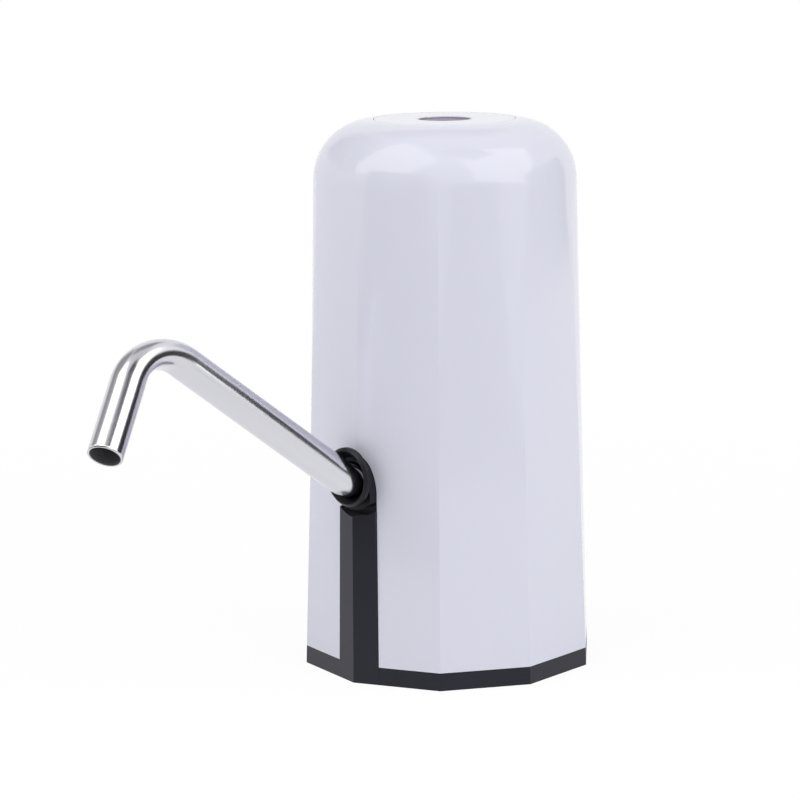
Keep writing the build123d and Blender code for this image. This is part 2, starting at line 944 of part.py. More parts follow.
def motor_windings():
    """The copper that fills the armature's slots."""
    extra = (winding_length - rotor_length) / 2
    low = rotor_low() - extra
    coils = []
    for count in range(rotor_slots):
        coil = block(
            rotor_core_radius + snug_gap,
            rotor_radius - snug_gap - rotor_slot_width / 2,
            -rotor_slot_width / 2 + snug_gap,
            rotor_slot_width / 2 - snug_gap,
            low,
            low + winding_length,
        )
        coils.append(at_pump(around(coil, count * 360 / rotor_slots)))
    return Compound(children=coils)


def motor_commutator():
    """The ring that the brushes press on."""
    high = motor_top - bush_length
    low = high - commutator_length
    return at_pump(ring(commutator_radius, shaft_radius + snug_gap, low, high))


def motor_end_cap():
    """The moulded cap that closes the motor and holds brushes and terminals."""
    inner = motor_radius - motor_wall - snug_gap
    high = motor_top + end_cap_height
    cap = cylinder(inner, motor_top - end_cap_wall, motor_top)
    cap = cap + cylinder(motor_radius - motor_wall, motor_top, high)
    cap = cap - cylinder(bush_radius + snug_gap, motor_top - end_cap_height, high - end_cap_wall)
    for x in terminal_places():
        cap = cap - terminal(x, snug_gap)
    return at_pump(solid_of(cap))


def terminal_places():
    """The sideways places of the two terminals on the end cap."""
    return [-terminal_spacing / 2, terminal_spacing / 2]


def terminal(x, grow):
    """One flat terminal through the end cap, grown by a clearance for its slot."""
    half = terminal_width / 2 + grow
    thick = terminal_thickness / 2 + grow
    low = motor_top - end_cap_wall - grow
    high = tag_top + grow
    return block(x - half, x + half, terminal_back - thick, terminal_back + thick, low, high)


def motor_terminals():
    """The two solder tags of the motor."""
    return Compound(children=[at_pump(terminal(x, 0)) for x in terminal_places()])


def brush_block(x):
    """One carbon brush beside the commutator, standing on the end cap."""
    near = commutator_radius + run_gap
    far = near + brush_width
    side = 1 if x > 0 else -1
    left, right = sorted((side * near, side * far))
    half = brush_width / 2
    low = motor_top - bush_length - commutator_length
    return block(left, right, -half, half, low, motor_top - end_cap_wall)


def motor_brushes():
    """The two carbon brushes."""
    return Compound(children=[at_pump(brush_block(x)) for x in terminal_places()])


def motor_sleeve():
    """The soft sleeve that steadies the motor in the frame's cup."""
    outer = pump_radius + fit_gap - snug_gap
    return at_pump(ring(outer, motor_radius + snug_gap, frame_cup_top - sleeve_length, frame_cup_top))


def inner_frame():
    """The moulded frame that holds pump, battery and control board on the deck."""
    cup_bore = pump_radius + fit_gap
    cell_bore = cell_radius + fit_gap
    cradle = cell_bore + cradle_wall
    floor = frame_floor + cradle_floor
    frame = cylinder(frame_radius, deck_top, frame_floor)
    front = flange_end + face_gap
    frame = frame - block(-frame_radius, frame_radius, -frame_radius, front, 0, overall_height)
    frame = frame + cylinder(cup_bore + frame_cup_wall, deck_top, frame_cup_top, pump_x, pump_y)
    frame = frame + cylinder(cradle, deck_top, cell_top, cell_x, cell_y)
    frame = frame - cylinder(cup_bore, frame_floor, cell_top + overrun, pump_x, pump_y)
    frame = frame - cylinder(cell_bore, floor, cell_top + overrun, cell_x, cell_y)
    frame = frame + cylinder(cradle, deck_top, floor, cell_x, cell_y)
    frame = frame - cylinder(cup_bore, frame_floor, floor, pump_x, pump_y)
    half = cradle_opening / 2
    high = cell_top + overrun
    frame = frame - block(cell_x, frame_radius, cell_y - half, cell_y + half, floor, high)
    half = tab_width / 2 + fit_gap
    high = floor + 2 * tab_thickness
    frame = frame - block(cell_x - half, cell_x + half, cell_y, cell_y + cradle, floor, high)
    for angle in rest_angles:
        x, y = polar(pump_radius - rest_radius, angle, pump_x, pump_y)
        frame = frame + cylinder(rest_radius, frame_floor - overrun, pump_bottom, x, y)
    port_x = pump_x + pump_port_side
    half = hose_radius + face_gap
    near = pump_y - rest_radius
    high = port_height + half
    frame = frame - block(port_x - half, port_x + half, -frame_radius, near, frame_floor, high)
    for angle in screw_angles:
        x, y = polar(screw_circle_radius, angle)
        frame = frame + cylinder(boss_radius, deck_top, deck_top + boss_height, x, y)
    high = socket_depth + screw_length + snug_gap
    for angle in screw_angles:
        x, y = polar(screw_circle_radius, angle)
        frame = frame - cylinder(screw_radius + snug_gap, deck_top - overrun, high, x, y)
    frame = frame + board_posts()
    frame = frame - board_screw_holes()
    frame = frame - cylinder(hose_radius + face_gap, deck_top - overrun, frame_floor + overrun)
    return solid_of(frame)


def board_posts():
    """The two posts behind the control board, with webs to the cell's cradle."""
    outer_edge = board_width / 2
    inner_edge = outer_edge - board_post_width
    front = board_back - board_post_depth
    posts = None
    for left, right in ((-outer_edge, -inner_edge), (inner_edge, outer_edge)):
        post = block(left, right, front, board_back, deck_top, board_top - header_height)
        left, right = (left + right - frame_plate) / 2, (left + right + frame_plate) / 2
        web = block(left, right, cell_y + cell_radius, front, deck_top, board_bottom)
        web = web - cylinder(pump_radius + fit_gap, 0, overall_height, pump_x, pump_y)
        web = web - cylinder(cell_radius + fit_gap, 0, overall_height, cell_x, cell_y)
        post = post + web
        posts = post if posts is None else posts + post
    return posts


def board_screw_places():
    """Where the two screws hold the control board to its posts."""
    side = (board_width - board_post_width) / 2
    height = board_bottom + 2 * board_post_width
    return [(-side, height), (side, height)]


def board_screw_holes():
    """The pilot holes in the board's posts."""
    holes = None
    near = board_back - small_screw_length
    for x, z in board_screw_places():
        hole = bar_y(small_screw_radius + snug_gap, near, board_outside + overrun, x, z)
        holes = hole if holes is None else holes + hole
    return holes


def base_screws():
    """The screws through the deck into the frame's bosses."""
    screws = []
    for angle in screw_angles:
        x, y = polar(screw_circle_radius, angle)
        one = screw(screw_radius, screw_length, screw_head_radius, screw_head)
        screws.append(Pos(x, y, socket_depth) * one)
    return Compound(children=screws)


def battery_cell():
    """The round lithium cell."""
    cell = cylinder(cell_radius, cell_bottom, cell_top - cell_button, cell_x, cell_y)
    return cell + cylinder(cell_button_radius, cell_top - cell_button, cell_top, cell_x, cell_y)


def battery_tabs():
    """The nickel strips on the cell's two ends."""
    half = tab_width / 2
    left = cell_x - half
    right = cell_x + half
    near = cell_y - half
    far = cell_y + cell_radius + fit_gap + cradle_wall + 2 * wire_radius + face_gap
    low = block(left, right, near, far, cell_bottom - tab_thickness, cell_bottom)
    far = cell_y + cell_radius - half
    high = block(left, right, near, far, cell_top, cell_top + tab_thickness)
    return Compound(children=[low, high])


def control_board():
    """The circuit board for pump and charging."""
    half = board_width / 2
    board = block(-half, half, board_back, board_outside, board_bottom, board_top)
    return solid_of(board - board_screw_holes())


def board_screws():
    """The two screws of the control board."""
    length = small_screw_length + board_thickness - overrun
    screws = []
    for x, z in board_screw_places():
        one = screw(small_screw_radius, length, small_head_radius, small_head)
        screws.append(Pos(x, board_outside, z) * Rotation(90, 0, 0) * one)
    return Compound(children=screws)


def usb_socket():
    """The charging socket that stands on the board and faces the back window."""
    half_x = usb_width / 2
    half_z = usb_height / 2
    far = board_outside + usb_depth
    skin = block(-half_x, half_x, board_outside, far, usb_level - half_z, usb_level + half_z)
    skin = fillet(skin.edges().filter_by(Axis.Y), half_z / 2)
    inner_x = half_x - usb_skin
    inner_z = half_z - usb_skin
    floor = board_outside + usb_skin
    low = usb_level - inner_z
    high = usb_level + inner_z
    hollow = block(-inner_x, inner_x, floor, far + overrun, low, high)
    hollow = fillet(hollow.edges().filter_by(Axis.Y), inner_z / 2)
    tongue_x = inner_x * usb_tongue_share
    high = usb_level + inner_z / 2
    tongue = block(-tongue_x, tongue_x, floor - usb_skin / 2, far - overrun, usb_level, high)
    return solid_of(skin - hollow + tongue)


def charge_light():
    """The charging lamp on the board and the clear rod that shows it on the back."""
    reach = shell_reach(charge_level)
    return bar_y(charge_radius, board_outside + led_height, reach, 0, charge_level)


def shell_reach(height):
    """How far back the cover's rear corner lies at a height."""
    return base_corner_radius + (crown_radius - base_corner_radius) * height / crown_height


def header_centre(group):
    """The sideways place of one plug header: 0 is the motor's, 1 the button's, 2 the cell's."""
    return header_middle + (group - 1) * header_pitch


def wire_headers():
    """The three plug headers at the board's top edge."""
    headers = []
    half = header_width / 2
    near = board_back - header_depth
    low = board_top - header_height
    for group in range(3):
        x = header_centre(group)
        headers.append(block(x - half, x + half, near, board_back, low, board_top))
    return Compound(children=headers)


def board_chips():
    """Charging chip, driver, lamp and coil on the outside of the board."""
    size = 2 * inductor_radius
    side = size * chip_side_share
    low = board_top - 2 * size
    face = board_outside + chip_height
    left_high, right_high = [low + size * share for share in chip_shares]
    lamp = charge_radius
    lamp_low = charge_level - lamp
    lamp_high = charge_level + lamp
    coil_level = low + size * inductor_share
    chips = [
        block(-size, -side, board_outside, face, low, left_high),
        block(side, size, board_outside, face, low, right_high),
        block(-lamp, lamp, board_outside, board_outside + led_height, lamp_low, lamp_high),
        bar_y(inductor_radius, board_outside, board_outside + inductor_height, 0, coil_level),
    ]
    return Compound(children=chips)


def header_pin(group, side):
    """Where one wire meets its header at the board's top edge."""
    x = header_centre(group) + side * wire_pitch / 2
    return x, board_back - header_depth / 2, board_top


def motor_leads():
    """The two wires from the motor's tags to the board."""
    wires = []
    top = tag_top + wire_loop_share * wire_bend
    for side, x in zip((-1, 1), terminal_places()):
        start = (pump_x + x, pump_y + terminal_back, tag_top)
        end = header_pin(0, side)
        points = [start, (start[0], start[1], top), (end[0], end[1], top), end]
        wires.append(wire(points, wire_bend))
    return Compound(children=wires)


def battery_leads():
    """The two wires from the cell's strips to the board."""
    top = cell_top + tab_thickness + wire_loop_share * wire_bend
    plus_end = header_pin(2, -1)
    plus = (cell_x - wire_pitch, cell_y + tab_width / 2, cell_top + tab_thickness)
    points = [plus, (plus[0], plus[1], top), (plus_end[0], plus_end[1], top), plus_end]
    wires = [wire(points, wire_bend)]
    minus_end = header_pin(2, 1)
    reach = cell_y + cell_radius + fit_gap + cradle_wall + wire_radius + face_gap
    minus = (cell_x, reach, cell_bottom)
    higher = top + wire_pitch
    points = [minus, (minus[0], minus[1], higher), (minus_end[0], minus_end[1], higher), minus_end]
    wires.append(wire(points, wire_bend))
    return Compound(children=wires)


def button_leads():
    """The two wires from the button's board to the control board."""
    level = button_board_under - wire_loop_share * wire_bend
    wires = []
    for side in (-1, 1):
        end = header_pin(1, side)
        start = (end[0], end[1] - button_board_radius, button_board_under)
        points = [start, (start[0], start[1], level), (end[0], end[1], level), end]
        wires.append(wire(points, wire_bend))
    return Compound(children=wires)


def top_cap():
    """The disc in the crown with the button's well, its guide and the board's posts."""
    cap = cylinder(cap_radius, cap_under, overall_height)
    guide_bottom = cap_under - button_guide_length
    well = button_radius + button_gap
    cap = cap + cylinder(well + button_guide_wall, guide_bottom, cap_under)
    cap = cap - cylinder(well, guide_bottom - overrun, overall_height + overrun)
    rim = cap.edges().filter_by(GeomType.CIRCLE).group_by(Axis.Z)[-1].sort_by(SortBy.RADIUS)[0]
    cap = fillet(rim, button_edge_radius)
    for angle in button_post_angles:
        x, y = polar(button_post_circle_radius, angle)
        cap = cap + cylinder(button_post_radius, button_board_top, cap_under, x, y)
        high = button_board_under + small_screw_length + snug_gap
        cap = cap - cylinder(small_screw_radius + snug_gap, button_board_under, high, x, y)
    outer = cap_radius - cap_ledge - 2 * fit_gap
    for count in range(cap_leg_count):
        low = cap_under - cap_leg_length
        leg = block(outer - cap_leg_wall, outer, -cap_leg_width / 2, cap_leg_width / 2, low, cap_under)
        hook_top = cap_under - cap_ledge - fit_gap
        leg = leg + block(outer, outer + cap_hook, -cap_leg_width / 2, cap_leg_width / 2, low, hook_top)
        cap = cap + around(leg, count * 360 / cap_leg_count + 90)
    return solid_of(cap)


def power_button():
    """The dished round button with its retaining flange and stem."""
    top = overall_height - button_drop
    flange_top = cap_under - button_guide_length - face_gap / 2
    flange_low = flange_top - button_flange
    button = cylinder(button_radius, flange_low, top)
    rim = button.edges().group_by(Axis.Z)[-1]
    button = fillet(rim, button_edge_radius)
    chord = button_radius - button_edge_radius
    ball_radius = (chord**2 + button_dish**2) / (2 * button_dish)
    ball = Pos(0, 0, top - button_dish + ball_radius) * Sphere(ball_radius)
    button = button - ball
    button = button + cylinder(button_radius + button_flange_reach, flange_low, flange_top)
    hollow = button_radius - button_guide_wall
    button = button - cylinder(hollow, flange_low - overrun, top - button_dish - button_guide_wall)
    button = button + cylinder(button_stem_radius, plunger_top(), top - button_dish - button_flange)
    return solid_of(button)


def plunger_top():
    """The height of the switch's plunger at rest."""
    return button_board_top + switch_height + plunger_travel_room()


def plunger_travel_room():
    """How far the plunger stands out of the switch."""
    return 3 * button_travel


def switch_plunger():
    """The plunger of the switch, pushed by the button's stem."""
    low = button_board_top + switch_height - button_travel
    return cylinder(plunger_radius, low, plunger_top())


def button_switch():
    """The square push switch under the button."""
    half = switch_width / 2
    top = button_board_top + switch_height
    body = block(-half, half, -half, half, button_board_top, top)
    well = top - 2 * button_travel - face_gap
    return body - cylinder(plunger_radius + run_gap, well, top + overrun)


def button_board():
    """The small round board that carries the switch."""
    board = cylinder(button_board_radius, button_board_under, button_board_top)
    low = button_board_under - overrun
    high = button_board_top + overrun
    for angle in button_post_angles:
        x, y = polar(button_post_circle_radius, angle)
        board = board - cylinder(small_screw_radius + snug_gap, low, high, x, y)
    return board


def button_lamps():
    """The small lamps beside the switch."""
    lamps = []
    size = plunger_radius
    high = button_board_top + led_height
    for side in (-1, 1):
        y = side * (switch_width / 2 + 2 * size)
        lamps.append(block(-size, size, y - size / 2, y + size / 2, button_board_top, high))
    return Compound(children=lamps)


def button_board_screws():
    """The screws that hold the round board to the cap's posts."""
    screws = []
    for angle in button_post_angles:
        x, y = polar(button_post_circle_radius, angle)
        one = screw(small_screw_radius, small_screw_length, small_head_radius, small_head)
        screws.append(Pos(x, y, button_board_under) * one)
    return Compound(children=screws)


PIECES = (
    outer_shell,
    base_housing,
    neck_seal,
    inlet_nipple,
    inlet_hose,
    spout_collar,
    spout_tube,
    spout_connector,
    spout_rings,
    outlet_hose,
    pump_cover,
    valve_plate,
    valve_flaps,
    diaphragm,
    pump_body,
    pump_screws,
    wobble_plate,
    crank_pin,
    drive_crank,
    motor_shaft,
    motor_can,
    motor_bushes,
    motor_magnets,
    motor_armature,
    motor_windings,
    motor_commutator,
    motor_end_cap,
    motor_terminals,
    motor_brushes,
    motor_sleeve,
    inner_frame,
    base_screws,
    battery_cell,
    battery_tabs,
    battery_leads,
    motor_leads,
    button_leads,
    control_board,
    board_screws,
    board_chips,
    wire_headers,
    usb_socket,
    charge_light,
    top_cap,
    power_button,
    switch_plunger,
    button_switch,
    button_board,
    button_board_screws,
    button_lamps,
)

os.makedirs("parts", exist_ok=True)
for make in PIECES:
    export_step(make(), "parts/" + make.__name__ + ".step")
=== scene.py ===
import math

import bmesh
import bpy
from mathutils import Matrix, Quaternion, Vector


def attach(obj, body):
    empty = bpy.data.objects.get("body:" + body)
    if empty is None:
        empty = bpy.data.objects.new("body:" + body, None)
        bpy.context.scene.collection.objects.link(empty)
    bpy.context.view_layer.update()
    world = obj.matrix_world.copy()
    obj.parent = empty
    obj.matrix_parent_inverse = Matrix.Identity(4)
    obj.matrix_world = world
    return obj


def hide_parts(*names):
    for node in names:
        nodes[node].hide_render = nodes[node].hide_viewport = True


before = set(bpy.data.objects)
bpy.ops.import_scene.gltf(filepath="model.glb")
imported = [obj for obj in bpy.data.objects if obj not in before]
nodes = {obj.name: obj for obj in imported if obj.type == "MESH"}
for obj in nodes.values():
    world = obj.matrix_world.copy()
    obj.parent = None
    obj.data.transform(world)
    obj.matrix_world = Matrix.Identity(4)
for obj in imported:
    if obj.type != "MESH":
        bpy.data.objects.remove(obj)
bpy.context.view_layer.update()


# Base housing
# One near-black ABS moulding: foot band, spine, neck socket and deck. The mould was
# spark-eroded to a fine satin, so it has an even grain and hardly any colour variation.

def put(tree, kind, x, y, **settings):
    """One shader node at a place in its tree, with its own settings."""
    made = tree.nodes.new(kind)
    made.location = (x, y)
    for name, value in settings.items():
        setattr(made, name, value)
    return made


def join(tree, source, output, target, entry):
    """A link between two shader nodes."""
    tree.links.new(source.outputs[output], target.inputs[entry])


def open_group(name, entries, results):
    """A new shader node group with named sockets; each entry is a name, kind and starting value."""
    tree = bpy.data.node_groups.new(name, "ShaderNodeTree")
    for label, kind, start in entries:
        socket = tree.interface.new_socket(label, in_out="INPUT", socket_type=kind)
        socket.default_value = start
    for label, kind in results:
        tree.interface.new_socket(label, in_out="OUTPUT", socket_type=kind)
    inside = put(tree, "NodeGroupInput", -1200, 0)
    outside = put(tree, "NodeGroupOutput", 700, 0)
    return tree, inside, outside


def vary(tree, noise, entry, result, change):
    """Moves a group's colour and gloss about their stated values as a noise rises and falls."""
    centred = put(tree, "ShaderNodeMath", -700, 100, operation="SUBTRACT")
    centred.inputs[1].default_value = 0.5
    join(tree, noise, "Fac", centred, 0)
    shade = put(tree, "ShaderNodeMath", -500, 200, operation="MULTIPLY_ADD")
    shade.inputs[2].default_value = 1.0
    join(tree, centred, 0, shade, 0)
    join(tree, entry, change, shade, 1)
    tone = put(tree, "ShaderNodeHueSaturation", -200, 200)
    join(tree, entry, "Colour", tone, "Color")
    join(tree, shade, 0, tone, "Value")
    join(tree, tone, "Color", result, "Colour")
    dull = put(tree, "ShaderNodeMath", -500, -50, operation="MULTIPLY_ADD")
    join(tree, centred, 0, dull, 0)
    join(tree, entry, "Gloss Spread", dull, 1)
    join(tree, entry, "Gloss", dull, 2)
    join(tree, dull, 0, result, "Roughness")


COLOUR, NUMBER = "NodeSocketColor", "NodeSocketFloat"

# The skin of a moulded plastic or rubber: fine grain, faint mottling and uneven gloss.
moulded_skin, skin_in, skin_out = open_group(
    "moulded_skin",
    [
        ("Colour", COLOUR, (0.5, 0.5, 0.5, 1)),
        ("Mottle", NUMBER, 0.05),
        ("Gloss", NUMBER, 0.4),
        ("Gloss Spread", NUMBER, 0.1),
        ("Grain", NUMBER, 2500.0),
    ],
    [("Colour", COLOUR), ("Roughness", NUMBER), ("Height", NUMBER)],
)
place = put(moulded_skin, "ShaderNodeTexCoord", -1200, -300)
grain = put(moulded_skin, "ShaderNodeTexNoise", -900, -300)
grain.inputs["Detail"].default_value = 3.0
join(moulded_skin, place, "Object", grain, "Vector")
join(moulded_skin, skin_in, "Grain", grain, "Scale")
join(moulded_skin, grain, "Fac", skin_out, "Height")
cloud = put(moulded_skin, "ShaderNodeTexNoise", -900, 100)
cloud.inputs["Scale"].default_value = 55.0
cloud.inputs["Detail"].default_value = 4.0
join(moulded_skin, place, "Object", cloud, "Vector")
vary(moulded_skin, cloud, skin_in, skin_out, "Mottle")


def principled(material):
    """The one Principled shader of a material."""
    return material.node_tree.nodes["Principled BSDF"]


def open_material(name):
    """An empty material with one Principled shader in it."""
    material = bpy.data.materials.new(name)
    material.use_nodes = True
    return material, material.node_tree, principled(material)


def moulded(name, colour, gloss, spread, grain, depth, mottle=0.05, specular=0.5):
    """A material for a moulded part, with the moulded skin at its own values."""
    material, tree, shader = open_material(name)
    skin = put(tree, "ShaderNodeGroup", -600, 0, node_tree=moulded_skin)
    skin.inputs["Colour"].default_value = (*colour, 1)
    skin.inputs["Mottle"].default_value = mottle
    skin.inputs["Gloss"].default_value = gloss
    skin.inputs["Gloss Spread"].default_value = spread
    skin.inputs["Grain"].default_value = grain
    relief = put(tree, "ShaderNodeBump", -300, -200)
    relief.inputs["Strength"].default_value = 0.5
    relief.inputs["Distance"].default_value = depth
    join(tree, skin, "Height", relief, "Height")
    join(tree, skin, "Colour", shader, "Base Color")
    join(tree, skin, "Roughness", shader, "Roughness")
    join(tree, relief, "Normal", shader, "Normal")
    shader.inputs["Specular IOR Level"].default_value = specular
    return material


def dress(material, *names):
    """Gives these CAD nodes this material."""
    for name in names:
        for entry in nodes[name].material_slots:
            entry.material = material


satin_black = moulded(
    "satin_black_abs", (0.0105, 0.0105, 0.015),
    gloss=0.39, spread=0.08, grain=2600, depth=0.00006, mottle=0.3, specular=0.33,
)
shader = principled(satin_black)
shader.inputs["Specular Tint"].default_value = (0.82, 0.80, 1.0, 1)
shader.inputs["Sheen Weight"].default_value = 0.08
shader.inputs["Sheen Tint"].default_value = (0.85, 0.85, 1.0, 1)
dress(satin_black, "base_housing")


# Neck seal and inlet
# A milky food-grade silicone sleeve grips the bottle's neck. The hose spigot in the
# middle is natural nylon, and short silicone hoses join the water's way.

def let_light_in(material, weight, scale):
    """Lets light spread under the skin of a milky rubber."""
    shader = principled(material)
    shader.inputs["Subsurface Weight"].default_value = weight
    shader.inputs["Subsurface Scale"].default_value = scale


seal_silicone = moulded(
    "seal_silicone", (0.44, 0.44, 0.43),
    gloss=0.55, spread=0.1, grain=900, depth=0.00008,
)
let_light_in(seal_silicone, weight=0.15, scale=0.003)
dress(seal_silicone, "neck_seal")

hose_silicone = moulded(
    "hose_silicone", (0.62, 0.65, 0.62),
    gloss=0.35, spread=0.08, grain=500, depth=0.00004,
)
let_light_in(hose_silicone, weight=0.25, scale=0.002)
dress(hose_silicone, "inlet_hose", "outlet_hose")

nylon = moulded("natural_nylon", (0.60, 0.59, 0.53), gloss=0.45, spread=0.1, grain=1800, depth=0.00004)
dress(nylon, "inlet_nipple", "valve_plate", "wobble_plate", "drive_crank")

black_rubber = moulded(
    "black_rubber", (0.012, 0.012, 0.012),
    gloss=0.7, spread=0.1, grain=1500, depth=0.00006,
)
dress(black_rubber, "spout_rings", "valve_flaps", "diaphragm", "motor_sleeve")


# Inner frame and pump head
# The frame is a plain grey ABS moulding that is never seen, so its mould was left
# matt. The pump head is glass-filled black plastic, held by four steel screws.

frame_grey = moulded(
    "frame_grey_abs", (0.32, 0.32, 0.32),
    gloss=0.55, spread=0.1, grain=1600, depth=0.00008,
)
dress(frame_grey, "inner_frame")

pump_black = moulded(
    "glass_filled_black", (0.016, 0.016, 0.018),
    gloss=0.5, spread=0.2, grain=1100, depth=0.0001, mottle=0.4,
)
dress(pump_black, "pump_cover", "pump_body", "motor_end_cap")

# Worked metal: lines left by drawing, turning or grinding, along one direction.
worked_metal, metal_in, metal_out = open_group(
    "worked_metal",
    [
        ("Colour", COLOUR, (0.5, 0.5, 0.5, 1)),
        ("Place", "NodeSocketVector", (0, 0, 0)),
        ("Line Scale", NUMBER, 1.0),
        ("Contrast", NUMBER, 0.1),
        ("Gloss", NUMBER, 0.25),
        ("Gloss Spread", NUMBER, 0.1),
    ],
    [("Colour", COLOUR), ("Roughness", NUMBER), ("Height", NUMBER)],
)
lines = put(worked_metal, "ShaderNodeTexNoise", -900, 0)
lines.inputs["Detail"].default_value = 3.0
lines.inputs["Roughness"].default_value = 0.65
join(worked_metal, metal_in, "Place", lines, "Vector")
join(worked_metal, metal_in, "Line Scale", lines, "Scale")
join(worked_metal, lines, "Fac", metal_out, "Height")
vary(worked_metal, lines, metal_in, metal_out, "Contrast")


def metal(name, colour, gloss, spread, contrast, stretch, depth=0.00001, from_uv=False):
    """A bare metal whose lines run along the direction that stretch squeezes least."""
    material, tree, shader = open_material(name)
    place = put(tree, "ShaderNodeTexCoord", -1000, 0)
    squeeze = put(tree, "ShaderNodeMapping", -800, 0)
    squeeze.inputs["Scale"].default_value = stretch
    join(tree, place, "UV" if from_uv else "Object", squeeze, "Vector")
    skin = put(tree, "ShaderNodeGroup", -550, 0, node_tree=worked_metal)
    join(tree, squeeze, "Vector", skin, "Place")
    skin.inputs["Colour"].default_value = (*colour, 1)
    skin.inputs["Contrast"].default_value = contrast
    skin.inputs["Gloss"].default_value = gloss
    skin.inputs["Gloss Spread"].default_value = spread
    if depth:
        relief = put(tree, "ShaderNodeBump", -300, -200)
        relief.inputs["Strength"].default_value = 0.4
        relief.inputs["Distance"].default_value = depth
        join(tree, skin, "Height", relief, "Height")
        join(tree, relief, "Normal", shader, "Normal")
    join(tree, skin, "Colour", shader, "Base Color")
    join(tree, skin, "Roughness", shader, "Roughness")
    shader.inputs["Metallic"].default_value = 1.0
    return material


plain_steel = metal(
    "plain_steel", (0.46, 0.46, 0.46),
    gloss=0.35, spread=0.2, contrast=0.2, stretch=(900, 900, 60),
)
dress(plain_steel, "pump_screws", "crank_pin", "base_screws", "board_screws", "button_board_screws")


# Motor
# A small brushed motor in a drawn steel can: ferrite magnets, laminated rotor with
# copper windings, and a black end cap that carries the brushes and solder tags.

can_steel = metal(
    "drawn_can_steel", (0.52, 0.52, 0.51),
    gloss=0.32, spread=0.15, contrast=0.15, stretch=(200, 200, 2500),
)
dress(can_steel, "motor_can")
dress(plain_steel, "motor_shaft")
ferrite = moulded(
    "sintered_ferrite", (0.05, 0.05, 0.052),
    gloss=0.5, spread=0.2, grain=1400, depth=0.0001, mottle=0.5,
)
dress(ferrite, "motor_magnets")
laminations = metal(
    "rotor_laminations", (0.14, 0.14, 0.145),
    gloss=0.45, spread=0.3, contrast=0.5, stretch=(60, 60, 9000), depth=0.00006,
)
dress(laminations, "motor_armature")
copper = metal(
    "bare_copper", (0.70, 0.32, 0.17),
    gloss=0.3, spread=0.2, contrast=0.3, stretch=(3500, 3500, 300),
)
dress(copper, "motor_windings", "motor_commutator", "motor_terminals", "motor_bushes")
carbon = moulded(
    "pressed_carbon", (0.02, 0.02, 0.02),
    gloss=0.6, spread=0.2, grain=3000, depth=0.0001, mottle=0.5,
)
dress(carbon, "motor_brushes")


# Battery, control board and wires
# A blue shrink-wrapped round cell with welded nickel strips feeds a green circuit
# board, which carries chips, plug headers, a charging socket and a lamp with its rod.

cell_wrap = moulded(
    "blue_shrink_wrap", (0.015, 0.09, 0.26),
    gloss=0.22, spread=0.1, grain=400, depth=0.00003, mottle=0.1,
)
dress(cell_wrap, "battery_cell")
nickel = metal(
    "nickel_plate", (0.62, 0.59, 0.54),
    gloss=0.25, spread=0.15, contrast=0.15, stretch=(1200, 150, 1200),
)
dress(nickel, "battery_tabs", "usb_socket")
board_green = moulded(
    "green_solder_mask", (0.008, 0.09, 0.03),
    gloss=0.25, spread=0.1, grain=700, depth=0.00002, mottle=0.2,
)
dress(board_green, "control_board", "button_board")
chip_black = moulded(
    "chip_epoxy", (0.018, 0.018, 0.02),
    gloss=0.5, spread=0.1, grain=2200, depth=0.00004, mottle=0.2,
)
dress(chip_black, "board_chips", "switch_plunger", "button_switch")
header_cream = moulded(
    "header_nylon", (0.62, 0.56, 0.42),
    gloss=0.45, spread=0.1, grain=1500, depth=0.00004,
)
dress(header_cream, "wire_headers")
wire_red = moulded(
    "red_wire_cover", (0.36, 0.008, 0.008),
    gloss=0.35, spread=0.1, grain=600, depth=0.00002,
)
dress(wire_red, "battery_leads", "motor_leads", "button_leads")
lamp_clear = moulded(
    "clear_light_rod", (0.72, 0.78, 0.76),
    gloss=0.15, spread=0.05, grain=300, depth=0.00001,
)
dress(lamp_clear, "charge_light", "button_lamps")


# Spout
# A stainless tube, bent cold twice and then polished along its length. The long
# bend has drawn the tube a little flat, with a soft crease on its inner side.

spout_radius = 0.00425
spout_bore = 0.00365
spout_root = Vector((0, -0.0255, 0.0518))
spout_kink = Vector((0, -0.0395, 0.0518))
spout_rise = math.radians(40.4)
spout_drop = math.radians(49.3)
spout_swivel = math.radians(20.8)
long_leg = 0.0696
short_leg = 0.0348
kink_bend = 0.007
main_bend = 0.0143
spout_lip = 0.00014
ring_step = 0.0006
girth_steps = 64

# How much the long bend is flattened outside, widened, and dented inside.
flat_share = 0.10
wide_share = 0.03
dent_share = 0.24
dent_reach_share = 1.5

sideways = Vector((-math.sin(spout_swivel), 0, math.cos(spout_swivel)))
outward = Vector((0, -1, 0))
climb = outward * math.cos(spout_rise) + sideways * math.sin(spout_rise)
fall = outward * math.cos(spout_drop) - sideways * math.sin(spout_drop)
spout_corner = spout_kink + climb * long_leg
spout_tip = spout_corner + fall * short_leg


def rounded_route(corners, bends, step):
    """Points every step along straight runs joined by arcs, each with its bend share from 0 to 1."""
    route = []
    start = corners[0]
    for corner, after, radius in zip(corners[1:-1], corners[2:], bends):
        way_in = (corner - start).normalized()
        way_out = (after - corner).normalized()
        turn = way_in.angle(way_out)
        reach = radius * math.tan(turn / 2)
        first = corner - way_in * reach
        runs = max(2, int((first - start).length / step))
        route += [(start.lerp(first, count / runs), 0.0) for count in range(runs)]
        inward = (way_out - way_in * way_in.dot(way_out)).normalized()
        centre = first + inward * radius
        arcs = max(8, int(radius * turn / step))
        for count in range(arcs):
            angle = turn * count / arcs
            spoke = way_in * math.sin(angle) - inward * math.cos(angle)
            route.append((centre + spoke * radius, math.sin(math.pi * count / arcs)))
        start = corner + way_out * reach
    end = corners[-1]
    runs = max(2, int((end - start).length / step))
    route += [(start.lerp(end, count / runs), 0.0) for count in range(runs + 1)]
    return route


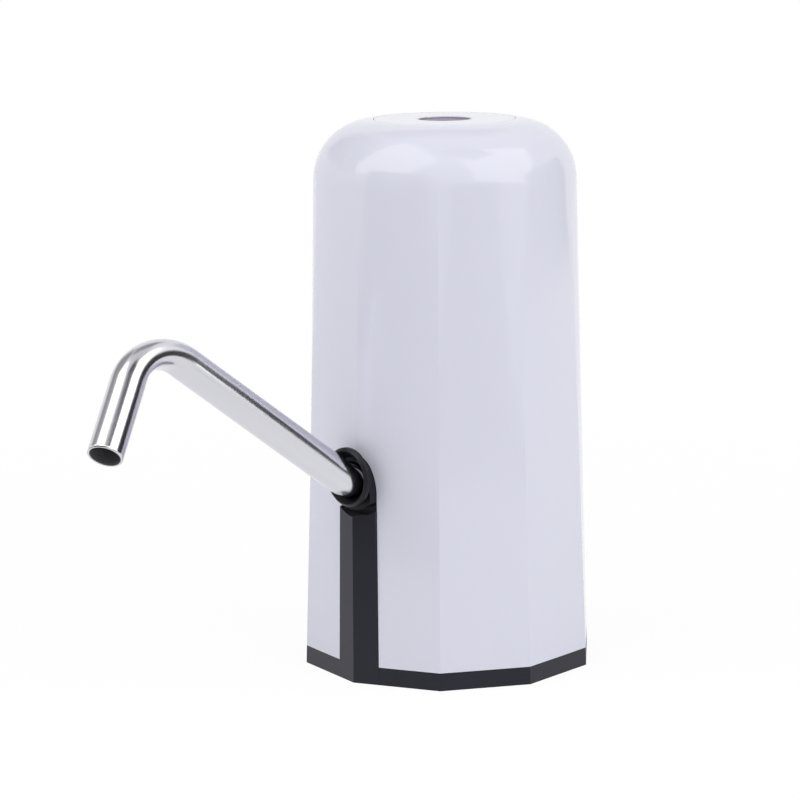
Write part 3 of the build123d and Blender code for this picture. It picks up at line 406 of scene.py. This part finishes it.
def spout_mesh():
    """The tube's skin and bore as one closed mesh, with a length and girth map for its polish.

    The map's girth runs above zero on the skin and below zero in the bore.
    """
    corners = [spout_root, spout_kink, spout_corner, spout_tip]
    route = rounded_route(corners, (kink_bend, main_bend), ring_step)
    level = outward.cross(sideways).normalized()
    mesh = bmesh.new()
    rings = []
    lengths = []
    travelled = 0.0
    for count, (point, bent) in enumerate(route):
        before = route[max(count - 1, 0)][0]
        after = route[min(count + 1, len(route) - 1)][0]
        ahead = (after - before).normalized()
        upper = level.cross(ahead).normalized()
        if upper.dot(sideways) < 0:
            upper = -upper
        if count:
            travelled += (point - before).length
        past_kink = count > len(route) / 3
        rings.append((point, ahead, upper, bent if past_kink else 0.0))
        lengths.append(travelled)
    skin_edge = spout_radius - spout_lip
    last = len(rings) - 1
    outline = [(0, spout_bore + spout_lip / 2, 0.0), (0, skin_edge, 0.0), (0, spout_radius, spout_lip)]
    outline += [(index, spout_radius, 0.0) for index in range(1, last)]
    outline += [(last, spout_radius, -spout_lip), (last, skin_edge, 0.0)]
    outline += [(last, spout_bore + spout_lip, 0.0), (last, spout_bore, -spout_lip)]
    outline += [(index, spout_bore, 0.0) for index in range(last - 1, 0, -1)]
    outline += [(0, spout_bore, spout_lip)]
    verts = []
    for index, radius, shift in outline:
        point, ahead, upper, bent = rings[index]
        rise = min(1.0, dent_reach_share * bent)
        dent = rise * rise * (3 - 2 * rise)
        wide = 1 + wide_share * bent
        row = []
        for step in range(girth_steps):
            angle = 2 * math.pi * step / girth_steps
            across, tall = math.cos(angle), math.sin(angle)
            inner, outer = max(0.0, -tall), max(0.0, tall)
            flat = 1 - flat_share * bent * outer - dent_share * dent * inner ** 2
            spot = point + ahead * shift
            spot = spot + level * (across * radius * wide) + upper * (tall * radius * flat)
            row.append(mesh.verts.new(spot))
        verts.append(row)
    uv = mesh.loops.layers.uv.new("length_and_girth")
    map_margin = 0.001
    rows = len(outline)
    for low in range(rows):
        high = (low + 1) % rows
        near, far = verts[low], verts[high]
        for step in range(girth_steps):
            after = (step + 1) % girth_steps
            face = mesh.faces.new((near[step], far[step], far[after], near[after]))
            face.smooth = True
            spans = ((low, step), (high, step), (high, step + 1), (low, step + 1))
            for loop, (row, turn) in zip(face.loops, spans):
                if high == 0 and row == 0:
                    row = low
                index, radius = outline[row][0], outline[row][1]
                round_way = map_margin + turn / girth_steps * 2 * math.pi * spout_radius
                if radius < spout_bore + spout_lip / 2:
                    round_way = -round_way
                loop[uv].uv = (lengths[index], round_way)
    bmesh.ops.recalc_face_normals(mesh, faces=mesh.faces)
    data = bpy.data.meshes.new("polished_spout")
    mesh.to_mesh(data)
    mesh.free()
    return data


spout_steel = metal(
    "polished_stainless", (0.655, 0.65, 0.70),
    gloss=0.19, spread=0.06, contrast=0.14, stretch=(14, 420, 1), depth=0.0, from_uv=True,
)

# The bore keeps the dull grey of the drawn tube. Its skin lies below zero on the girth map.
tree = spout_steel.node_tree
shader = principled(spout_steel)
place = put(tree, "ShaderNodeTexCoord", -1000, -400)
girth_way = put(tree, "ShaderNodeSeparateXYZ", -800, -400)
join(tree, place, "UV", girth_way, "Vector")
in_bore = put(tree, "ShaderNodeMath", -600, -400, operation="LESS_THAN")
in_bore.inputs[1].default_value = 0.0
join(tree, girth_way, "Y", in_bore, 0)
on_skin = put(tree, "ShaderNodeMath", -400, -400, operation="SUBTRACT")
on_skin.inputs[0].default_value = 1.0
join(tree, in_bore, 0, on_skin, 1)
join(tree, on_skin, 0, shader, "Metallic")
steel_skin = shader.inputs["Base Color"].links[0].from_node
bore_tone = put(tree, "ShaderNodeMixRGB", -200, 200)
bore_tone.inputs["Color2"].default_value = (0.10, 0.095, 0.105, 1)
join(tree, in_bore, 0, bore_tone, "Fac")

# Painted shade darkens the root, where the tube turns in the collar's mouth.
root_shade_edge = (spout_kink - spout_root).length
root_shade_fade = 0.0025
root_painted_shade = put(tree, "ShaderNodeMapRange", -600, 200)
root_painted_shade.inputs["From Min"].default_value = root_shade_edge - root_shade_fade
root_painted_shade.inputs["From Max"].default_value = root_shade_edge
root_painted_shade.inputs["To Min"].default_value = 0.15
root_painted_shade.inputs["To Max"].default_value = 1.0
join(tree, girth_way, "X", root_painted_shade, "Value")
# The root's colour is scaled down here as painted shade.
root_tone = put(tree, "ShaderNodeHueSaturation", -400, 200)
join(tree, steel_skin, "Colour", root_tone, "Color")
join(tree, root_painted_shade, "Result", root_tone, "Value")
join(tree, root_tone, "Color", bore_tone, "Color1")
join(tree, bore_tone, "Color", shader, "Base Color")
bore_gloss = put(tree, "ShaderNodeMath", -200, 0, operation="MAXIMUM")
join(tree, steel_skin, "Roughness", bore_gloss, 0)
join(tree, in_bore, 0, bore_gloss, 1)
join(tree, bore_gloss, 0, shader, "Roughness")

spout = bpy.data.objects.new("polished_spout", spout_mesh())
bpy.context.scene.collection.objects.link(spout)
spout.data.materials.append(spout_steel)
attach(spout, "spout")
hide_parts("spout_tube")


# Spout collar
# A satin black ring about the spout's root, moulded slightly softer than the base. It
# leans a little as the tube draws it, and the fitting behind its mouth is as black.

collar_black = moulded(
    "collar_satin_black", (0.007, 0.007, 0.0095),
    gloss=0.40, spread=0.08, grain=3000, depth=0.00004, mottle=0.3, specular=0.27,
)
principled(collar_black).inputs["Specular Tint"].default_value = (0.88, 0.87, 1.0, 1)
dress(collar_black, "spout_collar", "spout_connector")


# Cover and top cap
# High gloss white ABS with a faint cool cast. The polished mould leaves a very slight
# waviness, and handling leaves faint dull smears that only show in the reflections.

body_white = (0.64, 0.64, 0.73)


def polished_white(name):
    """The body's high gloss white, as a material of its own."""
    return moulded(
        name, body_white,
        gloss=0.12, spread=0.03, grain=260, depth=0.000004, mottle=0.01, specular=0.4,
    )


gloss_white = polished_white("gloss_white_abs")
dress(gloss_white, "outer_shell")

# The cap is the same white, but the wall of the button's well is painted grey as shade in the recess.
well_reach = 0.00678
cap_white = polished_white("cap_white_abs")
tree = cap_white.node_tree
cap_skin = principled(cap_white).inputs["Base Color"].links[0].from_node
place = put(tree, "ShaderNodeTexCoord", -1400, 0)
level = put(tree, "ShaderNodeVectorMath", -1200, 0, operation="MULTIPLY")
level.inputs[1].default_value = (1, 1, 0)
join(tree, place, "Object", level, 0)
from_middle = put(tree, "ShaderNodeVectorMath", -1050, 0, operation="LENGTH")
join(tree, level, "Vector", from_middle, 0)
in_well = put(tree, "ShaderNodeMath", -900, 0, operation="LESS_THAN")
in_well.inputs[1].default_value = well_reach
join(tree, from_middle, "Value", in_well, 0)
# Grey painted shade for the well's wall, inside the well's reach from the cap's middle.
well_painted_shade = put(tree, "ShaderNodeMixRGB", -750, 0)
well_painted_shade.inputs["Color1"].default_value = (*body_white, 1)
well_painted_shade.inputs["Color2"].default_value = (0.30, 0.27, 0.33, 1)
join(tree, in_well, 0, well_painted_shade, "Fac")
join(tree, well_painted_shade, "Color", cap_skin, "Colour")
dress(cap_white, "top_cap")


# Power button
# A dished grey button with a fine satin face, which stands just below the cap's rim.

button_grey = moulded(
    "button_satin_grey", (0.27, 0.245, 0.30),
    gloss=0.45, spread=0.08, grain=2400, depth=0.00003, mottle=0.05, specular=0.25,
)
dress(button_grey, "power_button")


# Studio
# The camera stands where the photograph's did. Two large soft boxes over a white sweep
# light the pump. Black flags streak its tube and spine, and grey ones shade its cover.

stage_mesh = bmesh.new()
bmesh.ops.create_circle(stage_mesh, cap_ends=True, segments=96, radius=2.5)
floor_data = bpy.data.meshes.new("studio_floor")
stage_mesh.to_mesh(floor_data)
stage_mesh.free()
floor = bpy.data.objects.new("studio_floor", floor_data)
bpy.context.scene.collection.objects.link(floor)

floor_white, tree, shader = open_material("floor_white")
shader.inputs["Base Color"].default_value = (0.95, 0.95, 0.95, 1)
shader.inputs["Roughness"].default_value = 0.9
shader.inputs["Specular IOR Level"].default_value = 0.0
glow = put(tree, "ShaderNodeEmission", -200, -300)
blend = put(tree, "ShaderNodeMixShader", 200, 0)
path = put(tree, "ShaderNodeLightPath", -800, 200)


def seen_directly(tree, path):
    """1 for camera, glossy and transmission rays, and 0 for the rays that light the object."""
    first = put(tree, "ShaderNodeMath", -550, 200, operation="MAXIMUM")
    join(tree, path, "Is Camera Ray", first, 0)
    join(tree, path, "Is Glossy Ray", first, 1)
    second = put(tree, "ShaderNodeMath", -350, 200, operation="MAXIMUM")
    join(tree, first, 0, second, 0)
    join(tree, path, "Is Transmission Ray", second, 1)
    return second


place = put(tree, "ShaderNodeTexCoord", -1000, 500)
reach = put(tree, "ShaderNodeVectorMath", -800, 500, operation="LENGTH")
join(tree, place, "Object", reach, "Vector")
far_white = put(tree, "ShaderNodeMapRange", -600, 500, interpolation_type="SMOOTHSTEP")
far_white.inputs["From Min"].default_value = 0.06
far_white.inputs["From Max"].default_value = 0.45
far_white.inputs["To Min"].default_value = 0.94
far_white.inputs["To Max"].default_value = 1.0
join(tree, reach, "Value", far_white, "Value")
white_share = put(tree, "ShaderNodeMath", -150, 200, operation="MULTIPLY")
join(tree, seen_directly(tree, path), 0, white_share, 0)
join(tree, far_white, "Result", white_share, 1)
join(tree, white_share, 0, blend, 0)
join(tree, shader, "BSDF", blend, 1)
join(tree, glow, "Emission", blend, 2)
join(tree, blend, "Shader", tree.nodes["Material Output"], "Surface")
floor.data.materials.append(floor_white)

world = bpy.data.worlds.new("white_studio")
bpy.context.scene.world = world
world.use_nodes = True
tree = world.node_tree
air = tree.nodes["Background"]
air.inputs["Color"].default_value = (0.97, 0.98, 1.0, 1)
air.inputs["Strength"].default_value = 0.42
backdrop = put(tree, "ShaderNodeBackground", -200, -200)
backdrop.inputs["Color"].default_value = (1, 1, 1, 1)
backdrop.inputs["Strength"].default_value = 1.0
blend = put(tree, "ShaderNodeMixShader", 200, 0)
path = put(tree, "ShaderNodeLightPath", -800, 200)
join(tree, seen_directly(tree, path), 0, blend, 0)
join(tree, air, "Background", blend, 1)
join(tree, backdrop, "Background", blend, 2)
join(tree, blend, "Shader", tree.nodes["World Output"], "Surface")

aim = Vector((0, 0, 0.075))


def direction(azimuth, elevation):
    """A unit vector at an azimuth from +X and an elevation, both in degrees."""
    turn, lift = math.radians(azimuth), math.radians(elevation)
    return Vector((math.cos(turn) * math.cos(lift), math.sin(turn) * math.cos(lift), math.sin(lift)))


def soft_box(name, azimuth, elevation, width, height, distance, power, roll):
    """A large rectangular soft box that faces the pump."""
    lamp = bpy.data.lights.new(name, "AREA")
    lamp.shape = "RECTANGLE"
    lamp.size, lamp.size_y = width, height
    lamp.energy = power
    made = bpy.data.objects.new(name, lamp)
    towards = direction(azimuth, elevation)
    made.location = aim + towards * distance
    made.rotation_mode = "QUATERNION"
    made.rotation_quaternion = towards.to_track_quat("Z", "Y") @ Quaternion((0, 0, 1), math.radians(roll))
    bpy.context.scene.collection.objects.link(made)
    return made


soft_box(
    "left_soft_box",
    azimuth=-112, elevation=46, width=0.87, height=0.96, distance=0.9, power=4.9, roll=-16,
)
soft_box(
    "right_soft_box",
    azimuth=8, elevation=38, width=0.95, height=1.00, distance=0.9, power=5.5, roll=-16,
)


def flag_cloth(name, glow, fade=0.0):
    """A matt black cloth, or a grey one that glows and fades to white along its edges."""
    cloth, tree, shader = open_material(name)
    shader.inputs["Base Color"].default_value = (0.02, 0.02, 0.02, 1)
    shader.inputs["Roughness"].default_value = 0.9
    shader.inputs["Specular IOR Level"].default_value = 0.0
    shader.inputs["Emission Color"].default_value = (glow, glow, glow, 1)
    shader.inputs["Emission Strength"].default_value = 1.0
    if fade:
        place = put(tree, "ShaderNodeTexCoord", -1000, 0)
        spread = put(tree, "ShaderNodeVectorMath", -800, 0, operation="ABSOLUTE")
        sides = put(tree, "ShaderNodeSeparateXYZ", -600, 0)
        farther = put(tree, "ShaderNodeMath", -400, 0, operation="MAXIMUM")
        edge = put(tree, "ShaderNodeMapRange", -200, 0, interpolation_type="SMOOTHSTEP")
        edge.inputs["From Min"].default_value = 0.5 - fade
        edge.inputs["From Max"].default_value = 0.5
        edge.inputs["To Min"].default_value = glow
        edge.inputs["To Max"].default_value = 1.0
        join(tree, place, "Object", spread, 0)
        join(tree, spread, 0, sides, 0)
        join(tree, sides, "X", farther, 0)
        join(tree, sides, "Y", farther, 1)
        join(tree, farther, 0, edge, "Value")
        join(tree, edge, "Result", shader, "Emission Color")
    return cloth


flag_black = flag_cloth("flag_black", glow=0.0)
flag_grey = flag_cloth("flag_grey", glow=0.36, fade=0.22)
flag_pale = flag_cloth("flag_pale", glow=0.75, fade=0.15)


def flag(name, cloth, azimuth, elevation, width, height, distance, roll=0.0):
    """A matt flag that only reflections see, and its place as seen from the pump."""
    card = bmesh.new()
    bmesh.ops.create_grid(card, x_segments=1, y_segments=1, size=0.5)
    data = bpy.data.meshes.new(name)
    card.to_mesh(data)
    card.free()
    made = bpy.data.objects.new(name, data)
    towards = direction(azimuth, elevation)
    turn = towards.to_track_quat("Z", "Y").to_matrix().to_4x4()
    turn = turn @ Matrix.Rotation(math.radians(roll), 4, "Z")
    size = Matrix.Diagonal((width, height, 1, 1))
    made.matrix_world = Matrix.Translation(aim + towards * distance) @ turn @ size
    bpy.context.scene.collection.objects.link(made)
    made.data.materials.append(cloth)
    made.visible_camera = False
    made.visible_diffuse = False
    made.visible_shadow = False


flag("rear_flag", flag_black, azimuth=50, elevation=7, width=0.90, height=0.52, distance=0.9)
flag("top_flag", flag_black, azimuth=-12, elevation=68, width=0.30, height=0.36, distance=0.8, roll=20)
flag("left_flag", flag_grey, azimuth=-172, elevation=38, width=1.10, height=0.80, distance=0.9)
flag("ceiling_flag", flag_pale, azimuth=0, elevation=90, width=1.3, height=1.3, distance=1.1)
flag("back_flag", flag_grey, azimuth=135, elevation=58, width=0.70, height=0.50, distance=0.9)
flag("front_left_flag", flag_black, azimuth=-92, elevation=3, width=0.44, height=0.44, distance=0.40)
flag("front_right_flag", flag_black, azimuth=-26, elevation=-3, width=0.26, height=0.24, distance=0.36)
flag("low_front_flag", flag_black, azimuth=-101, elevation=-15, width=0.17, height=0.06, distance=0.20)

camera_data = bpy.data.cameras.new("camera")
camera_data.sensor_width = 36.0
camera_data.lens = 137.03
camera_data.clip_start = 0.05
camera_data.clip_end = 20.0
camera = bpy.data.objects.new("camera", camera_data)
camera.location = (0.48192, -0.59229, 0.20673)
camera.rotation_euler = [math.radians(turn) for turn in (79.579, 0.566, 39.919)]
bpy.context.scene.collection.objects.link(camera)
bpy.context.scene.camera = camera
bpy.context.scene.view_settings.view_transform = "Standard"
